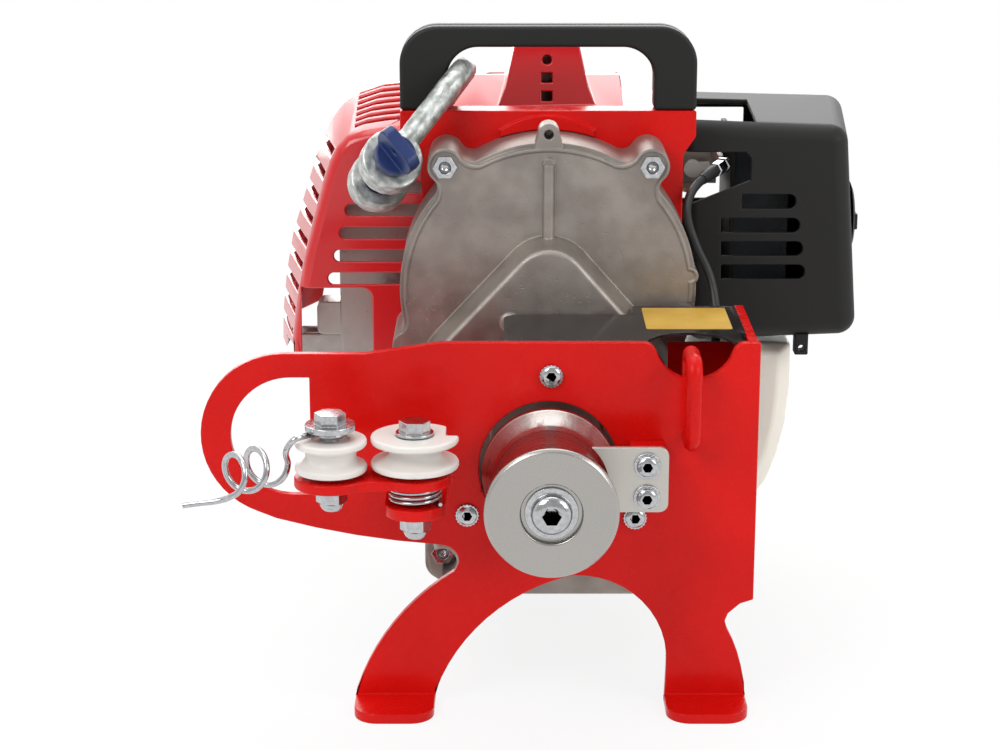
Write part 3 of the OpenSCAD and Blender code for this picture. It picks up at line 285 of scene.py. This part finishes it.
# bright metal whose highlights fan out across rings from the lathe
turned = finish("turned alloy", "#aeaba7", 0.24, 1.0, Anisotropic=0.3)
tree = turned.node_tree
where = add(tree, "Mapping", inputs={
    "Vector": add(tree, "TexCoord").outputs["Object"], "Location": (0, 0, -CAPSTAN_Z * MM),
    "Scale": (1, 0, 1)})
radius = add(tree, "VectorMath", {"operation": "LENGTH"}, {0: where.outputs[0]})
along = add(tree, "SeparateXYZ", inputs={0: add(tree, "TexCoord").outputs["Object"]})
mark = add(tree, "Math", {"operation": "ADD"}, {
    0: radius.outputs["Value"], 1: along.outputs["Y"]})
rings = add(tree, "TexNoise", {"noise_dimensions": "1D"}, {
    "W": mark.outputs[0], "Scale": 1 / (RING_PITCH * MM), "Detail": 2.0}).outputs["Fac"]
bumps(turned, rings, 0.006, 0.7)
uneven(turned, rings, 0.2, 0.34)
# the grooves run round the axis, so the gloss is drawn out across them
around = add(tree, "VectorMath", {"operation": "CROSS_PRODUCT"}, {
    0: where.outputs[0], 1: (0, 1, 0)})
groove = add(tree, "VectorTransform", {
    "vector_type": "VECTOR", "convert_from": "OBJECT", "convert_to": "WORLD"},
    {"Vector": around.outputs[0]})
tree.links.new(groove.outputs[0], tree.nodes["Principled BSDF"].inputs["Tangent"])
soften(turned, 0.35, "capstan_drum", angle=25)
soften(bright_zinc, 0.3, "drum_bolt")
paint(bright_zinc, "output_shaft")

# ---------------------------------------------------------------------------
# Rope rollers, their arm and bolts.
# White cast nylon that lets a little light through, on a red coated steel arm.
# ---------------------------------------------------------------------------
# a warm white that light sinks into a little, with a slightly wavy skin
nylon = finish("white cast nylon", "#dedad5", 0.34, Subsurface_Weight=0.5,
               Subsurface_Scale=0.006, Subsurface_Radius=(1.0, 0.9, 0.8))
bumps(nylon, noise(nylon.node_tree, 2.5), 0.03, 0.4)
soften(nylon, 0.3, "fixed_roller", "swing_roller", angle=50)
soften(red_coat, 0.7, "roller_arm")
soften(bright_zinc, 0.3, "pivot_bolt", "swing_bolt")

# ---------------------------------------------------------------------------
# Torsion spring round the arm's sleeve, and the pigtail guide on the outer bolt.
# Round zinc-plated wire. Each is one swept tube on the CAD form's own path.
# ---------------------------------------------------------------------------


def wire(name, points, radius, material, sides=5):
    """A round tube along points given as X, depth behind the plate and Z in mm."""
    curve = bpy.data.curves.new(name, "CURVE")
    curve.dimensions = "3D"
    curve.bevel_depth = radius * MM
    curve.bevel_resolution = sides
    curve.use_fill_caps = True
    spline = curve.splines.new("NURBS")
    spline.points.add(len(points) - 1)
    for point, spot in zip(spline.points, points):
        point.co = (*at(*spot), 1)
    spline.order_u = 4
    spline.resolution_u = 4
    spline.use_endpoint_u = True
    curve.materials.append(material)
    piece = bpy.data.objects.new(name, curve)
    bpy.context.scene.collection.objects.link(piece)
    return piece


def turn(degrees):
    """The two shares of one step in a direction: along X and in depth."""
    return math.cos(math.radians(degrees)), math.sin(math.radians(degrees))


STEP = 15                                        # degrees from one point to the next
FIXED, SWING = (-64.2, -45), (-103.5, -50)       # X and depth of the rollers' bolts
SPRING_R, SPRING_LOW, SPRING_HIGH = 12.1, 124.2, 131.4
SPRING_STEPS = 72                                # three turns
FRONT_LEG, REAR_LEG = 8, 9                       # the spring's straight ends in mm
coils = [(FIXED[0] + SPRING_R, FIXED[1] - FRONT_LEG, SPRING_LOW)]
for step in range(SPRING_STEPS + 1):
    across, deep = turn(STEP * step)
    coils.append((FIXED[0] + SPRING_R * across, FIXED[1] + SPRING_R * deep,
                  SPRING_LOW + (SPRING_HIGH - SPRING_LOW) * step / SPRING_STEPS))
coils.append((FIXED[0] + SPRING_R, FIXED[1] + REAR_LEG, SPRING_HIGH))
spring = wire("spring_wire", coils, 0.9, bright_zinc)
place(spring, "winch_frame", "zinc_steel", "arm_spring")

# the guide starts as an eye under the bolt's head, steps down, winds twice and runs out
EYE_R, EYE_Z, EYE_START = 6, 158.4, -130
tail = []
for step in range(19):
    across, deep = turn(EYE_START + STEP * step)
    tail.append((SWING[0] + EYE_R * across, SWING[1] + EYE_R * deep, EYE_Z))
tail += [(SWING[0] + x, SWING[1] + d, z) for x, d, z in (
    (-8, -1, EYE_Z), (-11.5, -7, EYE_Z + 0.8), (-15.5, -11.5, EYE_Z + 1.3),
    (-19, -10, 155.5), (-21.5, -2, 149))]
COIL_X, COIL_D, COIL_Z = -134.3, -38, 139        # where the winding's axis starts
COIL_R, COIL_PITCH, COIL_RISE = 9.5, 15.3, 0.07
LEAN_X, LEAN_D = 0.04, 0.06                      # how far its turns tip with the axis
across, deep = turn(235)                         # its axis, seen from above
for step in range(55):
    part = step / 24 - 0.25
    up, out = turn(360 * part - 20)
    tail.append((COIL_X + COIL_PITCH * part * across - COIL_R * (LEAN_X * up - deep * out),
                 COIL_D + COIL_PITCH * part * deep - COIL_R * (LEAN_D * up + across * out),
                 COIL_Z + COIL_PITCH * part * COIL_RISE - COIL_R * up))
tail += [(-151.5, -63.5, 130.6), (-157, -62.5, 128.9), (-163, -62, 128.3),
         (-168, -62, 127.6), (-172.2, -62, 127)]
pigtail = wire("pigtail_wire", tail, 1.5, bright_zinc)
place(pigtail, "swing_arm", "zinc_steel", "pigtail_guide")

# ---------------------------------------------------------------------------
# Gear cover, clutch housing, crankcase and cylinder.
# Bead-blasted die castings: warm grey metal with a fine sandy grain and slight
# clouding, all edges well rounded. The gears inside are plain oiled steel.
# ---------------------------------------------------------------------------
# warm grey, matt, sandy to the eye, with a few small pits
casting = finish("bead-blasted casting", "#968e88", 0.42, 0.75)
rounded(casting, 1.4)
tree = casting.node_tree
two_tone(casting, spread(tree, noise(tree, 16, 4.0), 0, 1, 0.35, 0.65), "#8f8781", "#a19a93")
uneven(casting, noise(tree, 7), 0.38, 0.5)
bumps(casting, noise(tree, 0.5, 2.0), 0.02, 0.5)
bumps(casting, spread(tree, noise(tree, 1.5, 1.0), 1, 0, 0.66, 0.74), 0.12, 0.6)
HUMP_FRONT, BOSS_R = 64, 43        # depth of the cover's front face; its boss in mm


def outlines_hump(edge):
    """True for an edge of the cover's front face that lies outside the shaft's boss."""
    return all(abs(vert.co.y / MM + MID - HUMP_FRONT) < 0.1
               and math.hypot(vert.co.x, vert.co.z - CAPSTAN_Z * MM) > BOSS_R * MM
               for vert in edge.verts)


soften(casting, 2.4, "gear_cover", segments=5, pick=outlines_hump)
soften(casting, 0.6, "clutch_housing", "crankcase", "cylinder")
# darker and smoother than the castings, as cut steel under a film of oil
gear_steel = finish("oiled gear steel", "#8d8b88", 0.3, 1.0)
paint(gear_steel, "ring_gear", "output_wheel", "gear_carrier", "planet_gear_1",
      "planet_gear_2", "planet_gear_3", "clutch_drum", "crankshaft", "connecting_rod",
      "case_bearings")
paint(finish("sintered friction lining", "#6d5f55", 0.8), "clutch_shoe_1", "clutch_shoe_2")
paint(finish("machined alloy", "#aeaba7", 0.3, 1.0), "piston", "flywheel")

# ---------------------------------------------------------------------------
# Smoked guard on top of the plate, with a plain yellow strip.
# Clear brown-black polycarbonate sheet, bent at its ends. The strip is bare film stuck
# flat on it.
# ---------------------------------------------------------------------------
# the machine shows through it dimly, and its flat top shines
smoked = finish("smoked polycarbonate", "#6a6563", 0.12, IOR=1.3, Transmission_Weight=0.9)
uneven(smoked, noise(smoked.node_tree, 12), 0.08, 0.2)
soften(smoked, 0.3, "top_guard")

FILM_W, FILM_D, FILM_T, FILM_CORNER = 43, 44, 0.15, 1.6
work = bmesh.new()
bmesh.ops.create_grid(work, x_segments=1, y_segments=1, size=0.5)
bmesh.ops.scale(work, vec=(FILM_W * MM, FILM_D * MM, 1), verts=work.verts)
bmesh.ops.bevel(work, geom=work.verts[:], offset=FILM_CORNER * MM, offset_type="OFFSET",
                segments=4, profile=0.5, affect="VERTICES", material=-1)
top = bmesh.ops.extrude_face_region(work, geom=work.faces[:])
bmesh.ops.translate(work, vec=(0, 0, FILM_T * MM),
                    verts=[v for v in top["geom"] if isinstance(v, bmesh.types.BMVert)])
bmesh.ops.recalc_face_normals(work, faces=work.faces)
bmesh.ops.translate(work, vec=at(70.5, 51, 188.55), verts=work.verts)
# faded yellow, a little uneven where the glue holds it
yellow_film = finish("yellow film", "#cfa548", 0.34)
tree = yellow_film.node_tree
two_tone(yellow_film, spread(tree, noise(tree, 18), 0, 1), "#c89a33", "#d8b04c")
bumps(yellow_film, noise(tree, 7), 0.04, 0.5)
place(show("yellow_strip", work, yellow_film), "winch_frame", slot_of("top_guard"))

# ---------------------------------------------------------------------------
# Handle plate and the two moulded halves of the carrying handle.
# The plate is red coated steel; the handle is black nylon with a fine grain and
# generously rounded edges, split down its middle.
# ---------------------------------------------------------------------------
soften(red_coat, 0.8, "handle_plate")
# a dull black whose spark-eroded grain keeps its highlights wide
black_nylon = finish("black moulded nylon", "#181817", 0.54, Specular_IOR_Level=0.3)
bumps(black_nylon, noise(black_nylon.node_tree, 0.6, 2.0), 0.03, 0.4)
soften(black_nylon, 2.2, "handle_front", "handle_rear", angle=60, segments=4)

# ---------------------------------------------------------------------------
# Cowl, starter cover and what shows behind them.
# The shells and controls are glossy red moulded nylon. The muffler behind the slots
# is pressed bright steel, and the pull handle and its reel are black nylon.
# ---------------------------------------------------------------------------
# a pinker red than the steel's, under a clear gloss
red_shell = finish("glossy red nylon", "#cd1118", 0.28, Coat_Weight=0.5, Coat_Roughness=0.12)
bumps(red_shell, noise(red_shell.node_tree, 3.0), 0.03, 0.4)
soften(red_shell, 0.9, "cowl", angle=40)
soften(red_shell, 0.6, "starter_cover")
# bare steel, patchy where the heat has dulled it
pressed = finish("pressed exhaust steel", "#a9a6a1", 0.34, 0.95)
uneven(pressed, noise(pressed.node_tree, 5), 0.26, 0.46)
soften(pressed, 0.8, "muffler")
soften(finish("white glazed insulator", "#ecebe6", 0.2, Coat_Weight=0.5), 0.4, "spark_plug")
soften(black_nylon, 0.5, "starter_handle", "starter_pulley")
red_control = finish("red moulded control", "#b01416", 0.34)
soften(red_control, 0.3, "stop_switch", "choke_lever")

# ---------------------------------------------------------------------------
# Carburettor and air filter on the right, with the knob that holds the cover.
# The carburettor is a small casting. The cover is black nylon, and open foam shows
# through its slots. The primer is a soft cream bulb.
# ---------------------------------------------------------------------------
soften(casting, 0.4, "carburettor")
soften(black_nylon, 0.8, "filter_cover", angle=45)
soften(black_nylon, 0.5, "filter_base", "filter_knob")
# near black, with pores drawn coarse enough to show
foam = finish("open-cell filter foam", "#33373a", 0.95)
bumps(foam, noise(foam.node_tree, 0.9, 2.0), 0.4, 0.8)
paint(foam, "filter_element")
paint(brushed, "throttle_lever")
paint(finish("cream rubber", "#d9cdb8", 0.5, Subsurface_Weight=0.2), "primer_bulb")

# ---------------------------------------------------------------------------
# Throttle cable, from its fitting by the carburettor to the hole below the rollers.
# A black plastic jacket on a steel coil, with a bright adjuster, its lock nut and a
# rubber boot at the engine end.
# ---------------------------------------------------------------------------
# smooth extruded black with one long highlight
jacket = finish("black cable jacket", "#141414", 0.42)
CABLE_R = 2.4                # radius of the jacket in mm
ROUTE = [
    (100, 158, 249.5), (96.5, 154, 248.2), (92, 148, 246.6), (87.5, 141, 245.2),
    (82, 131, 243.2), (77.4, 122, 240), (74.6, 114, 234.5), (74.6, 108, 227.5),
    (77.3, 103.5, 219.5), (80.6, 100, 211.5), (84.9, 97, 204), (87.5, 94, 195.5),
    (88.8, 88.5, 186), (89, 82, 176.5), (88, 76, 163.5), (86, 72, 150), (83, 66, 137),
    (79, 56, 123), (73.5, 44, 109), (64, 34, 96), (52, 27.5, 86.5), (39, 24, 80.5),
    (26, 23, 77.5), (12, 22, 77), (-5, 22, 79), (-18, 22, 84), (-25, 21, 93),
    (-29, 20, 104), (-36, 18, 114), (-46, 15, 121.5), (-54, 11, 126.5), (-57, 8, 128),
    (-57, 5, 128)]
cable = wire("cable_jacket_skin", ROUTE, CABLE_R, jacket)
place(cable, "winch_frame", "cable_jacket", "throttle_cable")


def barrel(start, toward, profile, sides):
    """A turned or hexagonal sleeve on the line from start to toward: profile is mm
    along it and radius in mm."""
    work = bmesh.new()
    start, toward = at(*start), at(*toward)
    points = [work.verts.new((r * MM, 0, along * MM)) for along, r in profile]
    for one, two in zip(points, points[1:]):
        work.edges.new((one, two))
    bmesh.ops.spin(work, geom=work.verts[:] + work.edges[:], cent=(0, 0, 0), axis=(0, 0, 1),
                   angle=math.radians(360), steps=sides, use_merge=True)
    bmesh.ops.remove_doubles(work, verts=work.verts, dist=0.001 * MM)
    bmesh.ops.recalc_face_normals(work, faces=work.faces)
    lean = (toward - start).to_track_quat("Z", "Y").to_matrix()
    bmesh.ops.rotate(work, matrix=lean, verts=work.verts)
    bmesh.ops.translate(work, vec=start, verts=work.verts)
    return work


adjuster = show("cable_adjuster", barrel(
    ROUTE[1], ROUTE[3],
    [(0, 2.5), (0, 3.6), (0.5, 4), (6.5, 4), (7, 3.6), (7, 2.5), (0, 2.5)], 6), bright_zinc)
lock_nut = show("cable_lock_nut", barrel(
    ROUTE[1], ROUTE[3], [(-2.8, 2.5), (-2.8, 4.2), (-2.4, 4.6), (-0.9, 4.6), (-0.5, 4.2),
                         (-0.5, 2.5), (-2.8, 2.5)], 6), bright_zinc)
boot = show("cable_boot", barrel(
    ROUTE[2], ROUTE[4],
    [(0, 2.5), (0, 3.4), (1, 3.6), (9, 3.1), (15, 2.7), (15, 2.45), (0, 2.5)], 24), jacket)
for piece in (adjuster, lock_nut, boot):
    place(piece, "winch_frame", slot_of("throttle_cable"))

# ---------------------------------------------------------------------------
# Fuel tank and the stand under it.
# The tank is blow-moulded polyethylene with wide soft edges, under a black nylon cap.
# The stand is folded steel sheet, painted black.
# ---------------------------------------------------------------------------
# milky, and it glows a little where light passes
milky = finish("milky polyethylene", "#f3ede0", 0.38, Subsurface_Weight=0.4,
               Subsurface_Scale=0.006, Subsurface_Radius=(1.0, 0.85, 0.6))
bumps(milky, noise(milky.node_tree, 4), 0.05, 0.4)
soften(milky, 2.0, "fuel_tank", angle=30, segments=3)
soften(black_nylon, 0.5, "fuel_cap")
black_paint = finish("black painted sheet", "#1c1c1e", 0.34)
bumps(black_paint, noise(black_paint.node_tree, 1.4), 0.02, 0.4)
soften(black_paint, 0.6, "rear_stand")

# ---------------------------------------------------------------------------
# Bow shackle through the handle, with its blue screw pin.
# Hot-dip galvanised forging: a lumpy, spangled grey skin. The pin's winged head
# is painted blue.
# ---------------------------------------------------------------------------
# dull silver in light and dark spangles, over runs and lumps of zinc
galvanised = finish("hot-dip galvanised forging", "#a9ada8", 0.42, 0.85)
tree = galvanised.node_tree
two_tone(galvanised, spread(tree, noise(tree, 5, 4.0), 0, 1, 0.38, 0.62), "#9da19d", "#d0d3d0")
bumps(galvanised, noise(tree, 3.5), 0.35, 0.5)
uneven(galvanised, noise(tree, 4), 0.3, 0.55)
piece = show("shackle_bow_skin", copied("shackle_bow"), galvanised)
for kind, settings in (
        ("REMESH", {"mode": "VOXEL", "voxel_size": 0.7 * MM, "use_smooth_shade": True}),
        ("SMOOTH", {"factor": 0.6, "iterations": 8})):
    step = piece.modifiers.new(kind.lower(), kind)
    for key, value in settings.items():
        setattr(step, key, value)
lumps = bpy.data.textures.new("galvanised lumps", "CLOUDS")
lumps.noise_scale = 0.009
lumps.noise_depth = 2
step = piece.modifiers.new("lumps", "DISPLACE")
step.texture = lumps
step.texture_coords = "LOCAL"
step.strength = 0.7 * MM
place(piece, body_of("shackle_bow"), slot_of("shackle_bow"), "shackle_bow")
# a dark blue that lies a little unevenly over the forged skin
blue = finish("blue paint on forged steel", "#172d62", 0.34)
bumps(blue, noise(blue.node_tree, 3), 0.08, 0.4)
soften(blue, 1.0, "shackle_pin", segments=3)

# ---------------------------------------------------------------------------
# The studio: a plain white paper floor that fades into a white room, four square soft
# lamps round the winch, and the camera, square to its front and looking down a little.
# ---------------------------------------------------------------------------
ROOM_LIGHT = 0.45            # the even light that the room throws on the winch
NEAR_WHITE, FAR_WHITE = 0.85, 1.0      # how far the paper shows as pure white
FADE_FROM, FADE_TO = 0.25, 1.0         # between these distances in metres
work = bmesh.new()
bmesh.ops.create_circle(work, cap_ends=True, radius=4, segments=96)
paper = finish("white studio floor", "#f2f2f2", 0.9, Specular_IOR_Level=0.1)
tree = paper.node_tree
rays = add(tree, "LightPath")
# camera, gloss and glass see the paper nearly white, fading to white away from the object
seen = add(tree, "Math", {"operation": "MAXIMUM"}, {
    0: rays.outputs["Is Camera Ray"], 1: rays.outputs["Is Glossy Ray"]})
seen = add(tree, "Math", {"operation": "MAXIMUM"}, {
    0: seen.outputs[0], 1: rays.outputs["Is Transmission Ray"]})
far = add(tree, "VectorMath", {"operation": "LENGTH"}, {
    0: add(tree, "TexCoord").outputs["Object"]}).outputs["Value"]
share = add(tree, "Math", {"operation": "MULTIPLY"}, {
    0: seen.outputs[0], 1: spread(tree, far, NEAR_WHITE, FAR_WHITE, FADE_FROM, FADE_TO)})
white = add(tree, "Emission", inputs={"Color": (1, 1, 1, 1), "Strength": 1.0})
blend = add(tree, "MixShader", inputs={
    0: share.outputs[0], 1: tree.nodes["Principled BSDF"].outputs[0], 2: white.outputs[0]})
tree.links.new(blend.outputs[0], tree.nodes["Material Output"].inputs["Surface"])
floor = show("floor", work, paper)

world = bpy.data.worlds.new("studio")
bpy.context.scene.world = world
world.use_nodes = True
tree = world.node_tree
rays = add(tree, "LightPath")
ray = add(tree, "SeparateXYZ", inputs={0: add(tree, "TexCoord").outputs["Generated"]})
# the room behind the camera is dim: gloss that faces it shows less white
behind = spread(tree, ray.outputs["Y"], 0.2, 1.0, -0.6, 0.1)
gloss = add(tree, "Math", {"operation": "MAXIMUM"}, {
    0: rays.outputs["Is Glossy Ray"], 1: rays.outputs["Is Transmission Ray"]})
gloss = add(tree, "Math", {"operation": "MULTIPLY"}, {0: gloss.outputs[0], 1: behind})
seen = add(tree, "Math", {"operation": "MAXIMUM"}, {
    0: rays.outputs["Is Camera Ray"], 1: gloss.outputs[0]})
level = add(tree, "MapRange", inputs={
    "Value": seen.outputs[0], "From Min": 0, "From Max": 1, "To Min": ROOM_LIGHT,
    "To Max": 1.0})
tree.links.new(level.outputs["Result"], tree.nodes["Background"].inputs["Strength"])
tree.nodes["Background"].inputs["Color"].default_value = (1, 1, 1, 1)


def lamp(name, spot, aim, size, watts):
    """A square soft lamp, size wide, at spot and turned to aim, in metres."""
    data = bpy.data.lights.new(name, "AREA")
    data.energy = watts
    data.size = size
    item = bpy.data.objects.new(name, data)
    item.location = spot
    item.rotation_euler = (Vector(aim) - Vector(spot)).to_track_quat("-Z", "Y").to_euler()
    bpy.context.scene.collection.objects.link(item)


lamp("key", (-0.9, -1.1, 1.3), (0, 0, 0.15), 0.9, 14)
lamp("fill", (1.3, -0.9, 0.9), (0, 0, 0.15), 0.9, 9)
lamp("top", (0, 0.2, 1.6), (0, 0, 0.1), 1.2, 9)
lamp("back", (0, 1.6, 0.85), (0, 0, 0.2), 1.6, 28)

camera = bpy.data.objects.new("camera", bpy.data.cameras.new("camera"))
camera.location = (-0.024, -1.1912, 0.4728)
camera.rotation_euler = (math.radians(74.5), 0, 0)
camera.data.lens = 82.8
camera.data.sensor_width = 36
bpy.context.scene.collection.objects.link(camera)
bpy.context.scene.camera = camera
bpy.context.scene.view_settings.view_transform = "Standard"
